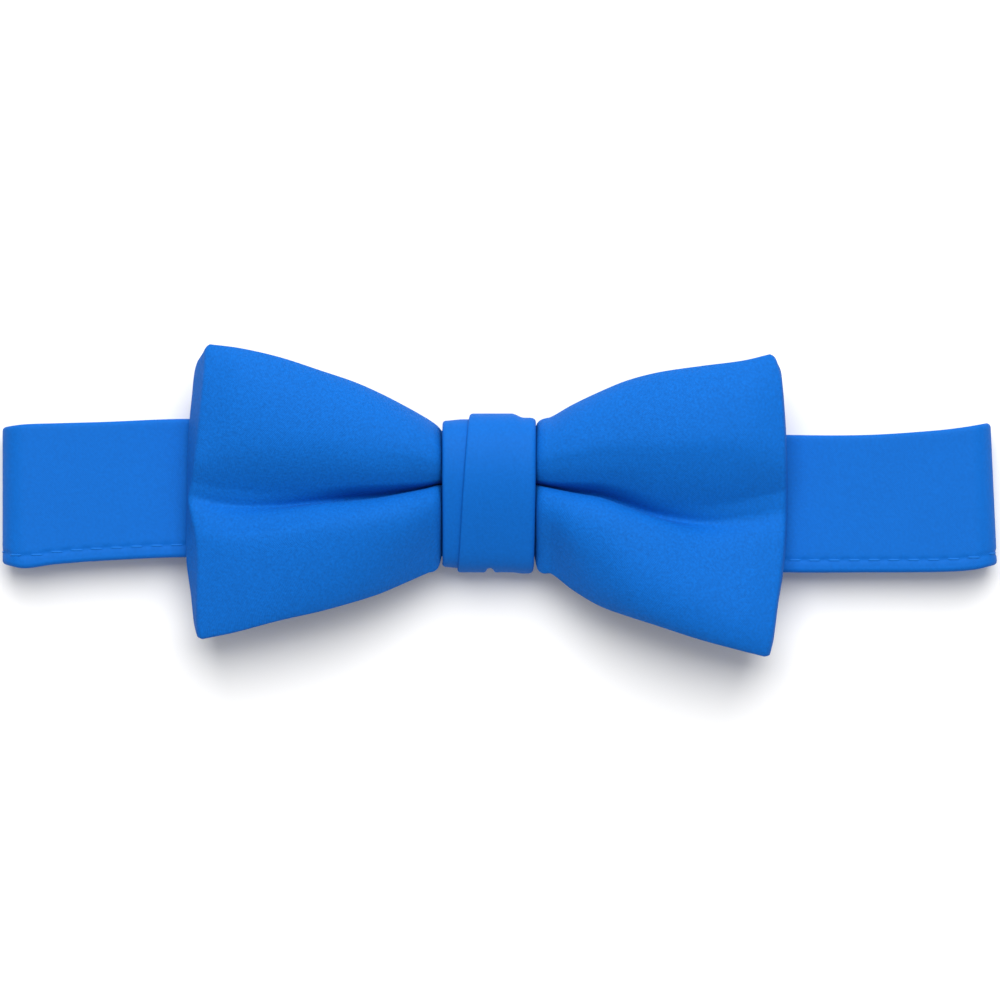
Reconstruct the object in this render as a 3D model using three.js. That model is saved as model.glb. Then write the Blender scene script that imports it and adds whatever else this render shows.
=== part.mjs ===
// A pre-tied bow tie, lying on its back with its front facing up. Millimetres, +Z up.
// X runs along the neck band and Y runs up the front of the tie. The origin is the middle of the footprint,
// on the surface that the tie lies on.
//
// The bow is one strip of cloth closed into a flat loop, so each wing has a front layer, a fold at its outer
// end and a back layer. The strip is pinched in the middle, where the front layer is pleated. The knot wrap
// goes round that pinch and round the front of the neck band. The neck band is a whole loop, pressed flat,
// and its two ends are looped through a plain slide clasp in the hidden stretch.

import * as THREE from 'three';

// Cloth thicknesses
const BOW_CLOTH = 1.2;
const BAND_CLOTH = 1.6;
const WRAP_CLOTH = 1.2;
const TIE_BLUE = 0x1d75e2;

// Where the knot's middle is, along the band
const KNOT_X = -2;

// The outline of each wing's front layer and the run of its pleat, a row for each section outward from the
// middle of the knot: the distance from the knot, the strip's two edges, the Y of the two lobes' crests, and
// the Y of the pleat, which is the lip of the lower lobe.
const OUTLINE_COLUMNS = ['at', 'top', 'bottom', 'upperY', 'lowerY', 'pleat'];
const LEFT_OUTLINE = [
  [0.0, 12.6, -10.0, 7.6, -0.8, 2.6],
  [9.3, 12.7, -10.2, 7.6, -1.0, 2.5],
  [10.2, 13.7, -13.0, 7.9, -2.0, 2.3],
  [12.0, 15.0, -13.8, 8.4, -2.8, 1.8],
  [16.0, 17.3, -15.5, 9.4, -4.2, 1.0],
  [21.0, 19.9, -17.6, 10.4, -4.8, 0.2],
  [26.0, 22.1, -19.2, 11.6, -5.2, -0.2],
  [32.0, 24.1, -20.9, 12.8, -5.6, -0.6],
  [40.0, 26.6, -22.8, 14.5, -6.4, -1.2],
  [48.0, 28.4, -25.0, 16.5, -7.2, -1.0],
  [54.0, 29.3, -26.3, 16.5, -6.6, 0.4],
];
const RIGHT_OUTLINE = [
  [0.0, 12.6, -10.0, 7.6, -0.8, 2.6],
  [8.9, 12.9, -10.6, 7.6, -1.2, 2.5],
  [9.7, 14.6, -13.5, 7.9, -2.4, 2.3],
  [12.0, 15.4, -14.0, 8.6, -3.2, 1.8],
  [16.0, 17.7, -16.9, 9.4, -5.6, 1.0],
  [21.0, 20.1, -19.8, 10.6, -7.2, 0.2],
  [26.0, 22.2, -21.6, 11.2, -10.0, -1.4],
  [32.0, 23.8, -23.5, 11.4, -13.0, -3.3],
  [40.0, 25.0, -26.0, 12.0, -17.5, -4.3],
  [48.0, 26.1, -28.1, 12.5, -21.0, -3.6],
  [53.0, 27.4, -29.4, 13.0, -23.0, -2.5],
];

// The relief of each wing's front layer: the heights of the strip's two edges (topRim, bottomRim), of the two
// crests and of the pleat's foot (floor), half the foot's width, the pleat's width at its mouth, the share of
// its depth below the mouth (step), how far the upper lobe's flank runs from the pleat, how far the lower
// lobe's lip is rolled (nose beyond the pleat's line, roll back from it, and shoulder, the share of the depth
// that is left there), and how full the lower lobe is towards its edge.
const RELIEF_COLUMNS = [
  'at', 'topRim', 'bottomRim', 'upper', 'lower', 'floor', 'foot', 'mouth', 'step', 'flank',
  'nose', 'roll', 'shoulder', 'full',
];
const LEFT_RELIEF = [
  [0.0, 7.9, 7.9, 14.2, 12.5, 9.4, 0.95, 1.6, 0.7, 3.0, 0.1, 1.6, 0.04, 0.1],
  [9.25, 7.9, 7.9, 14.2, 12.5, 9.5, 0.95, 1.6, 0.7, 3.0, 0.1, 1.6, 0.04, 0.1],
  [10.0, 8.6, 8.4, 15.8, 14.7, 10.0, 0.95, 1.65, 0.66, 4.2, 0.1, 1.6, 0.04, 0.1],
  [12.0, 9.4, 9.2, 16.9, 16.2, 10.5, 0.95, 1.85, 0.60, 5.3, 0.1, 1.7, 0.04, 0.1],
  [16.0, 10.8, 10.6, 18.2, 18.0, 11.1, 0.95, 2.3, 0.58, 6.8, 0.1, 1.9, 0.05, 0.2],
  [21.0, 12.4, 12.2, 19.2, 19.2, 11.6, 1.0, 2.8, 0.56, 7.9, 0.0, 2.2, 0.06, 0.35],
  [26.0, 13.6, 13.3, 19.9, 19.8, 12.2, 1.0, 3.0, 0.51, 8.8, -0.2, 2.6, 0.08, 0.45],
  [32.0, 14.6, 14.3, 20.3, 19.9, 13.3, 0.8, 2.9, 0.35, 10.3, -0.5, 3.2, 0.12, 0.45],
  [40.0, 15.1, 14.6, 20.3, 19.2, 13.5, 0.5, 3.0, 0.24, 11.4, -1.6, 4.2, 0.22, 0.4],
  [48.0, 14.8, 14.2, 19.0, 17.9, 13.1, 0.5, 3.3, 0.22, 11.5, -3.0, 5.2, 0.26, 0.35],
  [54.0, 13.8, 13.0, 16.5, 15.8, 12.8, 0.6, 3.0, 0.26, 8.0, -3.4, 5.8, 0.3, 0.35],
];
const RIGHT_RELIEF = [
  [0.0, 7.9, 7.9, 14.4, 12.5, 9.4, 0.95, 1.6, 0.7, 3.0, 0.1, 1.6, 0.04, 0.1],
  [8.9, 7.9, 7.9, 14.4, 12.5, 9.5, 0.95, 1.6, 0.7, 3.0, 0.1, 1.6, 0.04, 0.1],
  [9.6, 8.6, 8.4, 15.8, 14.7, 10.0, 0.95, 1.7, 0.66, 4.4, 0.1, 1.6, 0.04, 0.05],
  [12.0, 9.4, 9.2, 16.9, 16.3, 10.5, 0.95, 1.9, 0.60, 5.6, 0.1, 1.7, 0.04, 0.0],
  [16.0, 10.8, 10.6, 18.2, 18.2, 11.1, 0.95, 2.5, 0.58, 7.2, 0.1, 1.9, 0.05, 0.2],
  [21.0, 12.4, 12.6, 19.2, 19.2, 11.6, 1.0, 3.1, 0.55, 8.9, 0.0, 2.2, 0.06, 0.6],
  [26.0, 13.6, 14.2, 19.9, 19.6, 12.1, 1.05, 3.6, 0.46, 10.7, -0.2, 2.6, 0.08, 0.9],
  [32.0, 14.6, 15.4, 20.5, 19.4, 12.7, 0.9, 3.4, 0.30, 12.7, -0.6, 3.4, 0.12, 1.0],
  [40.0, 15.1, 15.8, 20.6, 18.6, 13.1, 0.6, 3.4, 0.19, 14.2, -3.0, 6.2, 0.28, 1.0],
  [48.0, 14.8, 15.2, 19.3, 17.3, 13.4, 0.8, 4.2, 0.17, 13.0, -5.0, 9.0, 0.38, 1.0],
  [53.0, 13.8, 14.0, 16.9, 15.6, 12.7, 0.8, 4.2, 0.18, 10.8, -5.2, 9.2, 0.38, 1.0],
];

// The back layer, shared by both wings: its height and how far its two edges lie inside the front layer's
const BACK_COLUMNS = ['at', 'height', 'inset'];
const BACK = [
  [0.0, 6.3, 0.2],
  [9.0, 6.3, 0.3],
  [14.0, 7.3, 1.0],
  [21.0, 8.5, 1.5],
  [32.0, 8.8, 1.6],
  [54.0, 8.9, 1.4],
];
const BACK_PLEAT_DEPTH = 0.45;
const BACK_PLEATS = 3;

// Each wing's outer end, a row for each place across it: how far the front layer and the fold beyond it reach
// from the knot. Then the back layer's corners, and how far the strip's corners draw in as they turn round.
const END_COLUMNS = ['y', 'front', 'fold'];
const LEFT_REACH = [
  [-26.2, 54.2, 55.6],
  [-23.5, 54.4, 56.15],
  [-18.0, 54.4, 56.7],
  [-12.0, 54.3, 57.5],
  [-7.0, 54.6, 57.6],
  [-3.5, 55.3, 57.55],
  [0.0, 55.9, 57.45],
  [3.5, 55.3, 57.4],
  [9.0, 54.6, 57.3],
  [15.6, 53.9, 57.0],
  [21.5, 53.3, 56.45],
  [26.0, 52.9, 56.0],
  [29.3, 52.8, 55.3],
];
const RIGHT_REACH = [
  [-29.4, 51.9, 53.3],
  [-27.0, 52.3, 53.9],
  [-24.5, 52.7, 54.25],
  [-20.0, 53.3, 54.8],
  [-13.5, 54.2, 55.8],
  [-5.0, 54.9, 56.5],
  [5.0, 55.0, 56.6],
  [12.5, 54.8, 56.35],
  [19.0, 54.4, 55.95],
  [23.0, 54.1, 55.6],
  [25.0, 53.6, 55.4],
  [26.2, 53.3, 55.1],
  [27.4, 52.9, 54.5],
];
const LEFT_END = { backTop: 24.8, backBottom: -24.6, topDip: 2.7, bottomDip: 0.5 };
const RIGHT_END = { backTop: 25.4, backBottom: -28.2, topDip: 1.7, bottomDip: 0.2 };
const CORNER_START = 0.84;
const FRONT_RADIUS = 0.75;
const BACK_RADIUS = 1.3;
const WINGS = {
  left: { side: -1, outline: LEFT_OUTLINE, relief: LEFT_RELIEF, reach: LEFT_REACH, end: LEFT_END },
  right: { side: 1, outline: RIGHT_OUTLINE, relief: RIGHT_RELIEF, reach: RIGHT_REACH, end: RIGHT_END },
};

// The inner face of the knot wrap, as a ring in the plane across the band: the Y and Z of the control points
// of a closed spline, from the top edge of the tie over the front to the bottom edge and back underneath
const KNOT_RING = [
  [14.15, 8.2],
  [14.35, 12.2],
  [11.6, 15.0],
  [6.2, 15.7],
  [0.6, 14.4],
  [-4.6, 12.4],
  [-9.2, 10.4],
  [-12.1, 8.5],
  [-11.8, 5.6],
  [-11.8, 3.4],
  [-10.6, 3.3],
  [-5.0, 3.4],
  [0.9, 3.4],
  [7.0, 3.4],
  [12.8, 3.3],
  [13.95, 3.4],
  [13.95, 4.8],
];

// The wrap's two edges and its fold, a row for each place round that ring, counted in its points. raise is
// how far the folded layer stands over the strip on its left, sag how far it sinks towards its right edge,
// and draw how far the left edge draws in.
const KNOT_COLUMNS = ['place', 'left', 'fold', 'right', 'raise', 'sag', 'draw'];
const KNOT_FOLDS = [
  [0.0, -8.9, -3.6, 8.8, 1.1, 1.0, 0.4],
  [1.6, -8.9, -4.1, 8.8, 0.8, 0.3, 0.1],
  [4.0, -8.9, -5.1, 8.7, 0.6, 0.0, 0.0],
  [6.4, -8.9, -5.8, 8.5, 0.55, 0.0, 0.0],
  [8.0, -9.0, -6.1, 8.4, 0.7, -0.25, 0.4],
  [9.6, -8.9, -6.0, 8.5, 0.22, 0.0, 0.1],
  [12.0, -8.8, -4.8, 8.7, 0.22, 0.0, 0.0],
  [14.8, -8.7, -3.8, 8.8, 0.22, 0.0, 0.1],
  [17.0, -8.9, -3.6, 8.8, 1.1, 1.0, 0.4],
];

// The small pucker in the wrap's bottom edge: its middle along X, its half width, how deep it is on the
// outside and on the inside, and between which places round the ring it runs
const PUCKER = { x: 0.1, width: 1.1, depth: 1.2, inner: 0.5, first: 6.8, last: 9.2, fade: 0.7 };

// The neck band, pressed flat. The reach is half its length over the two end folds. The right end fold is
// turned a little, so X shifts by END_SLANT for each millimetre of Y there. The edges hold for both layers,
// and the heights are those of the upper layer's middle.
const BAND_REACH = 94.9;
const BAND_FOLD_TOP = 8.4;
const END_SLANT = -0.046;
const EDGE_COLUMNS = ['at', 'top', 'bottom'];
const BAND_EDGES = [
  [-94.6, 13.9, -12.2],
  [-90.5, 14.4, -13.0],
  [-85.0, 14.6, -12.3],
  [-76.0, 14.85, -11.6],
  [-59.0, 15.45, -10.9],
  [-44.0, 14.8, -11.4],
  [-26.0, 14.5, -11.7],
  [-13.0, 12.5, -10.8],
  [9.0, 12.5, -10.8],
  [22.0, 13.2, -12.9],
  [55.0, 12.4, -13.8],
  [70.0, 12.4, -13.8],
  [84.0, 13.25, -13.7],
  [90.0, 13.95, -13.3],
  [94.6, 14.75, -12.3],
];
const HEIGHT_COLUMNS = ['at', 'height'];
const BAND_HEIGHTS = [
  [-90.0, 8.4],
  [-78.0, 7.7],
  [-60.0, 7.3],
  [-42.0, 6.9],
  [-24.0, 6.7],
  [-14.0, 4.9],
  [-10.0, 4.6],
  [6.0, 4.6],
  [10.0, 4.9],
  [20.0, 6.2],
  [36.0, 7.0],
  [58.0, 7.3],
  [78.0, 7.7],
  [90.0, 8.4],
];

// The slide clasp, and the band's ends looped round its two outer bars
const CLASP = {
  x: -32, y: 1.4, length: 16, width: 30.4,
  thickness: 1.2, bar: 1.4, rail: 1.5, corner: 2.2,
};
const LOOP_RADIUS = 2.0;
const LEFT_TUCK = 12;
const RIGHT_TUCK = 8.5;
const TUCK_REST = BAND_CLOTH * 1.5 + 0.4;

// Numbers of facets: across the bow's strip, round the knot's ring for each of its points, and the places
// along each wing's layers and down its fold
const ACROSS_BOW = 26;
const ROUND_KNOT = 3;
const OUTWARD = [8.2, 9, 9.9, 11, 12.5, 14.5, 17, 20, 23.5, 27.5, 32, 37, 42.5, 48, 51.5];
const DOWN_FOLD = [0, 0.35, 0.7, 1, 1.5, 2, 2.35, 2.7, 3];
const INWARD = [50, 42, 33, 25, 19, 14, 10.5, 8.2];

const mix = (a, b, share) => a + (b - a) * share;
const clip = (value) => Math.min(1, Math.max(0, value));
const ease = (share) => {
  const t = clip(share);
  return t * t * (3 - 2 * t);
};

// A smooth curve through one column of a table, keyed by its first column: cubic pieces whose slopes are
// those between neighbours
function along(table, columns, name, place) {
  const column = columns.indexOf(name);
  const last = table.length - 1;
  let k = table.findIndex((row) => row[0] > place) - 1;
  if (k < 0) k = place < table[0][0] ? 0 : last - 1;
  const slope = (i) => {
    const a = table[Math.max(i - 1, 0)];
    const b = table[Math.min(i + 1, last)];
    return (b[column] - a[column]) / (b[0] - a[0]);
  };
  const [from, to] = [table[k], table[k + 1]];
  const span = to[0] - from[0];
  const t = clip((place - from[0]) / span);
  const [t2, t3] = [t * t, t * t * t];
  return from[column] * (2 * t3 - 3 * t2 + 1) + to[column] * (3 * t2 - 2 * t3)
    + slope(k) * span * (t3 - 2 * t2 + t) + slope(k + 1) * span * (t3 - t2);
}

// The point of a uniform cubic B-spline over four control points
function splinePoint(four, t) {
  const weights = [
    (1 - t) ** 3,
    3 * t ** 3 - 6 * t * t + 4,
    -3 * t ** 3 + 3 * t * t + 3 * t + 1,
    t ** 3,
  ];
  return [0, 1].map((axis) => weights.reduce((sum, w, i) => sum + w * four[i][axis], 0) / 6);
}

// A B-spline that starts and ends on its first and last control point. share runs from 0 to 1.
function spline(points, share) {
  const first = points[0];
  const final = points[points.length - 1];
  const held = [first, first, ...points, final, final];
  const pieces = held.length - 3;
  const k = Math.min(pieces - 1, Math.floor(share * pieces));
  return splinePoint(held.slice(k, k + 4), share * pieces - k);
}

// The front layer's section across the strip, as [y, z]: from the bottom edge over the lower lobe, down its
// lip into the pleat, up the upper lobe's long flank and over it to the top edge
function frontSection(wing, at, across) {
  const line = (name) => along(wing.outline, OUTLINE_COLUMNS, name, at);
  const form = (name) => along(wing.relief, RELIEF_COLUMNS, name, at);
  const [top, bottom, upperY, lowerY, pleat] = OUTLINE_COLUMNS.slice(1).map(line);
  const [topRim, bottomRim, upper, lower, floor] = RELIEF_COLUMNS.slice(1, 6).map(form);
  const [foot, mouth, step, flank, nose, roll, shoulder, full] = RELIEF_COLUMNS.slice(6).map(form);
  const mouthZ = mix(floor, upper, step);
  return spline([
    [bottom, bottomRim],
    [mix(bottom, lowerY, 0.1), mix(bottomRim, lower, 0.1 + 0.35 * full)],
    [mix(bottom, lowerY, 0.5), mix(bottomRim, lower, 0.5 + 0.4 * full)],
    [lowerY, lower],
    [pleat - roll, mix(lower, floor, shoulder)],
    [pleat + nose, mix(lower, floor, 0.35 + 0.5 * shoulder)],
    [mix(pleat + nose, pleat - foot, 0.6), mix(lower, floor, 0.75)],
    [pleat - foot, floor],
    [pleat + foot, floor],
    [pleat + mix(foot, mouth, 0.4), mix(floor, mouthZ, 0.5)],
    [pleat + mouth, mouthZ],
    [pleat + mix(mouth, flank, 0.1), mix(mouthZ, upper, 0.12)],
    [pleat + mix(mouth, flank, 0.55), mix(mouthZ, upper, 0.6)],
    [pleat + flank, mix(upper, floor, 0.07)],
    [upperY, upper],
    [mix(top, upperY, 0.5), mix(topRim, upper, 0.9)],
    [mix(top, upperY, 0.1), mix(topRim, upper, 0.45)],
    [top, topRim],
  ], across);
}

// The back layer's section, as [y, z]: nearly flat, with shallow gathers where it runs into the knot
function backSection(wing, at, across) {
  const { outline, end } = wing;
  const [outer, outerTop, outerBottom] = outline[outline.length - 1];
  const share = (frontSection(wing, outer, across)[0] - outerBottom) / (outerTop - outerBottom);
  const inset = along(BACK, BACK_COLUMNS, 'inset', at);
  const atEnd = ease((at - outer + 9) / 9) ** 2;
  const top = mix(along(outline, OUTLINE_COLUMNS, 'top', at) - inset, end.backTop, atEnd);
  const bottom = mix(along(outline, OUTLINE_COLUMNS, 'bottom', at) + inset, end.backBottom, atEnd);
  const gather = BACK_PLEAT_DEPTH * ease((at - 6) / 8) * (1 - ease((at - 12) / 26));
  const wave = gather * (1 - Math.cos(2 * Math.PI * BACK_PLEATS * share)) / 2;
  return [mix(bottom, top, share), along(BACK, BACK_COLUMNS, 'height', at) + wave];
}

// A point down the outer fold, as x, z and the share of the fold's length gone: an arc from the front layer's
// slope, a leaning wall, and an arc under to the back layer. turn goes from 0 to 3, one for each of them. The
// wall's lean is found by repeating: the run and drop that the arcs leave to it give its angle.
function outerFold(turn, tip, slope, reach, backZ) {
  const { sin, cos, PI } = Math;
  let [lean, run, drop] = [0, 0, 0];
  for (let k = 0; k < 8; k += 1) {
    run = reach - tip.x - FRONT_RADIUS * (cos(lean) - sin(slope)) - BACK_RADIUS * (1 - cos(lean));
    drop = tip.z - backZ - FRONT_RADIUS * (cos(slope) - sin(lean)) - BACK_RADIUS * (1 + sin(lean));
    lean = Math.atan2(run, drop);
  }
  const wall = Math.hypot(run, drop);
  const [first, second, third] = [clip(turn), clip(turn - 1), clip(turn - 2)];
  const meet = PI / 2 - lean;
  const angle = mix(slope, meet, first);
  const under = mix(meet, PI, third);
  const [arc, curl] = [FRONT_RADIUS * (meet - slope), BACK_RADIUS * (PI - meet)];
  return {
    x: tip.x + FRONT_RADIUS * (sin(angle) - sin(slope)) + wall * sin(lean) * second
      + BACK_RADIUS * (sin(under) - sin(meet)),
    z: tip.z - FRONT_RADIUS * (cos(slope) - cos(angle)) - wall * cos(lean) * second
      - BACK_RADIUS * (cos(meet) - cos(under)),
    gone: (arc * first + wall * second + curl * third) / (arc + wall + curl),
  };
}

// A point of the bow's middle surface. step is { wing, layer, at } on the front or back, with at the distance
// from the knot, and { wing, layer: 'fold', at } down the outer end, with at from 0 to 3. Each layer is
// stretched smoothly along X so that it ends where the fold begins or finishes.
function bowPoint(step, across) {
  const { wing, layer, at } = step;
  const limit = wing.outline[wing.outline.length - 1][0];
  const [y0] = frontSection(wing, limit, across);
  const [y1] = backSection(wing, limit, across);
  const frontEnd = along(wing.reach, END_COLUMNS, 'front', y0);
  const reach = along(wing.reach, END_COLUMNS, 'fold', y0) - BOW_CLOTH / 2;
  const place = (distance, section, layerEnd) => {
    const [y, z] = section(wing, distance, across);
    return new THREE.Vector3(distance + (layerEnd - limit) * ease(distance / limit * 2 - 1), y, z);
  };
  const outward = (point) => point.setX(KNOT_X + wing.side * point.x);
  if (layer === 'front') return outward(place(at, frontSection, frontEnd));
  if (layer === 'back') return outward(place(at, backSection, reach - BACK_RADIUS));
  const tip = place(limit, frontSection, frontEnd);
  const before = place(limit - 0.5, frontSection, frontEnd);
  const slope = Math.atan2(before.z - tip.z, tip.x - before.x);
  const backZ = place(limit, backSection, reach - BACK_RADIUS).z;
  const { x, z, gone } = outerFold(at, tip, slope, reach, backZ);
  const turned = Math.sin(Math.PI * gone);
  const topCorner = ease((across - CORNER_START) / (1 - CORNER_START));
  const bottomCorner = ease((1 - across - CORNER_START) / (1 - CORNER_START));
  const drawn = turned * (wing.end.bottomDip * bottomCorner - wing.end.topDip * topCorner);
  return outward(new THREE.Vector3(x, mix(y0, y1, gone ** 3) + drawn, z));
}

// One closed body from points on a grid. Both ways of the grid close on themselves.
function ringBody(grid) {
  const [rows, columns] = [grid.length, grid[0].length];
  const positions = grid.flat().flatMap((p) => [p.x, p.y, p.z]);
  const index = [];
  for (let i = 0; i < rows; i += 1) {
    for (let j = 0; j < columns; j += 1) {
      const a = i * columns + j;
      const b = ((i + 1) % rows) * columns + j;
      const c = ((i + 1) % rows) * columns + (j + 1) % columns;
      const d = i * columns + (j + 1) % columns;
      index.push(a, b, c, a, c, d);
    }
  }
  return bodyOf(positions, index);
}

// One closed body from points on a grid whose columns close on themselves, with a flat cap at each end
function sweptBody(grid) {
  const [rows, columns] = [grid.length, grid[0].length];
  const positions = grid.flat().flatMap((p) => [p.x, p.y, p.z]);
  const index = [];
  for (let i = 0; i + 1 < rows; i += 1) {
    for (let j = 0; j < columns; j += 1) {
      const a = i * columns + j;
      const d = i * columns + (j + 1) % columns;
      index.push(a, a + columns, d + columns, a, d + columns, d);
    }
  }
  const last = (rows - 1) * columns;
  for (let j = 1; j + 1 < columns; j += 1) {
    index.push(0, j, j + 1, last, last + j + 1, last + j);
  }
  return bodyOf(positions, index);
}

// The geometry of one body, turned right side out if its signed volume is negative
function bodyOf(positions, index) {
  const corner = (k) => new THREE.Vector3().fromArray(positions, index[k] * 3);
  let volume = 0;
  for (let k = 0; k < index.length; k += 3) {
    volume += corner(k).dot(corner(k + 1).cross(corner(k + 2)));
  }
  if (volume < 0) index.reverse();
  const geometry = new THREE.BufferGeometry();
  geometry.setAttribute('position', new THREE.Float32BufferAttribute(positions, 3));
  geometry.setIndex(index);
  geometry.computeVertexNormals();
  return geometry;
}

// The steps round the bow: out along the right front, down the fold, back behind, and the same on the left
function bowSteps() {
  const half = (wing) => [
    ...OUTWARD.map((at) => ({ wing, layer: 'front', at })),
    ...DOWN_FOLD.map((at) => ({ wing, layer: 'fold', at })),
    ...INWARD.map((at) => ({ wing, layer: 'back', at })),
  ];
  const middle = (layer) => ({ wing: WINGS.right, layer, at: 0 });
  return [middle('front'), ...half(WINGS.right), middle('back'), ...half(WINGS.left).reverse()];
}

// The bow: its middle surface, thickened by half the cloth each way along the surface's own normal
function bowLoop() {
  const steps = bowSteps();
  const count = steps.length;
  const shares = Array.from({ length: ACROSS_BOW + 1 }, (_, j) => j / ACROSS_BOW);
  const middle = steps.map((step) => shares.map((across) => bowPoint(step, across)));
  const shifted = (i, j, offset) => {
    const [before, after] = [middle[(i + count - 1) % count][j], middle[(i + 1) % count][j]];
    const [below, above] = [middle[i][Math.max(j - 1, 0)], middle[i][Math.min(j + 1, ACROSS_BOW)]];
    const normal = after.clone().sub(before).cross(above.clone().sub(below)).normalize();
    return normal.multiplyScalar(offset).add(middle[i][j]);
  };
  const section = (i) => [
    ...middle[i].map((_, j) => shifted(i, j, BOW_CLOTH / 2)),
    ...middle[i].map((_, j) => shifted(i, j, -BOW_CLOTH / 2)).reverse(),
  ];
  return ringBody(steps.map((_, i) => section(i)));
}

// A point of the wrap's inner face, as [y, z], at a place that counts the ring's control points
function knotRing(place) {
  const count = KNOT_RING.length;
  const held = (place % count + count) % count;
  const k = Math.floor(held);
  const four = [-1, 0, 1, 2].map((i) => KNOT_RING[(k + i + count) % count]);
  return splinePoint(four, held - k);
}

// The wrap's profile at a place round the ring, as [x, height over the inner face]: a lower layer that shows
// on the left, and the folded layer over it
function knotProfile(place) {
  const [left, fold, right, raise, sag, draw] = KNOT_COLUMNS.slice(1)
    .map((name) => along(KNOT_FOLDS, KNOT_COLUMNS, name, place));
  const high = WRAP_CLOTH + raise;
  const { x: middle, width } = PUCKER;
  const fading = (distance) => ease(distance / PUCKER.fade);
  const pressed = fading(place - PUCKER.first) * fading(PUCKER.last - place);
  const profile = [
    [left, WRAP_CLOTH * 0.25], [left, WRAP_CLOTH * 0.75], [left + 0.5, WRAP_CLOTH], [fold - 0.1, WRAP_CLOTH],
    [fold, mix(WRAP_CLOTH, high, 0.7)], [fold + 0.4, high], [middle - width, high], [middle, high],
    [middle + width, high], [mix(middle, right, 0.45), high], [mix(middle, right, 0.75), high],
    [right - 0.6, high], [right, high * 0.7], [right, high * 0.2], [right - 0.4, 0],
    [middle + width, 0], [middle, 0], [middle - width, 0], [fold, 0], [left + 0.4, 0],
  ];
  return profile.map(([x, height]) => {
    const raised = height / high;
    const notch = 1 - ease(Math.abs(x - middle) / width);
    const dent = pressed * notch * mix(PUCKER.inner, PUCKER.depth, raised);
    return [x, height - raised * sag * ease((x - 4.2) / 2.4) - draw * (1 - ease((x - left) / 4)) - dent];
  });
}

// The knot wrap: its profile carried round the ring, square to the ring's line
function knotWrap() {
  const places = Array.from({ length: KNOT_RING.length * ROUND_KNOT }, (_, k) => k / ROUND_KNOT);
  return ringBody(places.map((place) => {
    const [y, z] = knotRing(place);
    const [before, after] = [knotRing(place - 0.01), knotRing(place + 0.01)];
    const way = new THREE.Vector2(after[0] - before[0], after[1] - before[1]).normalize();
    return knotProfile(place).map(([x, height]) => (
      new THREE.Vector3(KNOT_X + x, y + way.y * height, z - way.x * height)
    ));
  }));
}

// The band's route in the plane of its length and height, from the end tucked over the clasp's left bar,
// round the left fold, over the top, round the right fold and back to the end tucked over the right bar
function bandRoute() {
  const floor = BAND_CLOTH / 2;
  const foldRadius = (BAND_FOLD_TOP - floor) / 2;
  const foldX = BAND_REACH - BAND_CLOTH / 2 - foldRadius;
  const barX = CLASP.length / 2 - CLASP.bar / 2;
  const arc = (x, z, radius, from, to, steps) => Array.from({ length: steps + 1 }, (_, k) => {
    const angle = mix(from, to, k / steps) * Math.PI / 180;
    return [x + radius * Math.cos(angle), z + radius * Math.sin(angle)];
  });
  const tuck = (side, length) => [1, 0.75, 0.5, 0.25].map((share) => [
    CLASP.x + side * (barX + length * share),
    mix(floor + 2 * LOOP_RADIUS, TUCK_REST, ease(share)),
  ]);
  const upper = BAND_HEIGHTS.slice(1, -1).flatMap(([at], k, rows) => {
    const next = rows[k + 1];
    const between = next ? [mix(at, next[0], 0.5)] : [];
    return [at, ...between].map((x) => [x, along(BAND_HEIGHTS, HEIGHT_COLUMNS, 'height', x)]);
  });
  const level = (from, to, shares) => shares.map((share) => [mix(from, to, share), floor]);
  return [
    ...tuck(-1, LEFT_TUCK),
    ...arc(CLASP.x - barX, floor + LOOP_RADIUS, LOOP_RADIUS, 90, -90, 8),
    ...level(CLASP.x - barX, -foldX, [0.33, 0.66, 0.88]),
    ...arc(-foldX, floor + foldRadius, foldRadius, 270, 90, 10),
    ...upper,
    ...arc(foldX, floor + foldRadius, foldRadius, 90, -90, 10),
    ...level(foldX, CLASP.x + barX, [0.06, 0.25, 0.5, 0.75]),
    ...arc(CLASP.x + barX, floor + LOOP_RADIUS, LOOP_RADIUS, 270, 90, 8),
    ...tuck(1, RIGHT_TUCK).reverse(),
  ];
}

// The neck band: a flat strip with slightly rounded edges, carried along its route
function neckBand() {
  const route = bandRoute();
  const half = BAND_CLOTH / 2;
  const edge = 0.5;
  const endShift = (x, y) => END_SLANT * (y + 13.8) * ease((x - 60) / 32);
  const grid = route.map(([x, z], k) => {
    const [before, after] = [route[Math.max(k - 1, 0)], route[Math.min(k + 1, route.length - 1)]];
    const run = new THREE.Vector2(after[0] - before[0], after[1] - before[1]).normalize();
    const top = along(BAND_EDGES, EDGE_COLUMNS, 'top', x);
    const bottom = along(BAND_EDGES, EDGE_COLUMNS, 'bottom', x);
    const outline = [
      [bottom + edge, -half], [top - edge, -half], [top, -half + edge], [top, half - edge],
      [top - edge, half], [bottom + edge, half], [bottom, half - edge], [bottom, -half + edge],
    ];
    return outline.map(([y, offset]) => {
      const across = x - run.y * offset;
      return new THREE.Vector3(across + endShift(across, y), y, z + run.x * offset);
    });
  });
  return sweptBody(grid);
}

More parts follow.
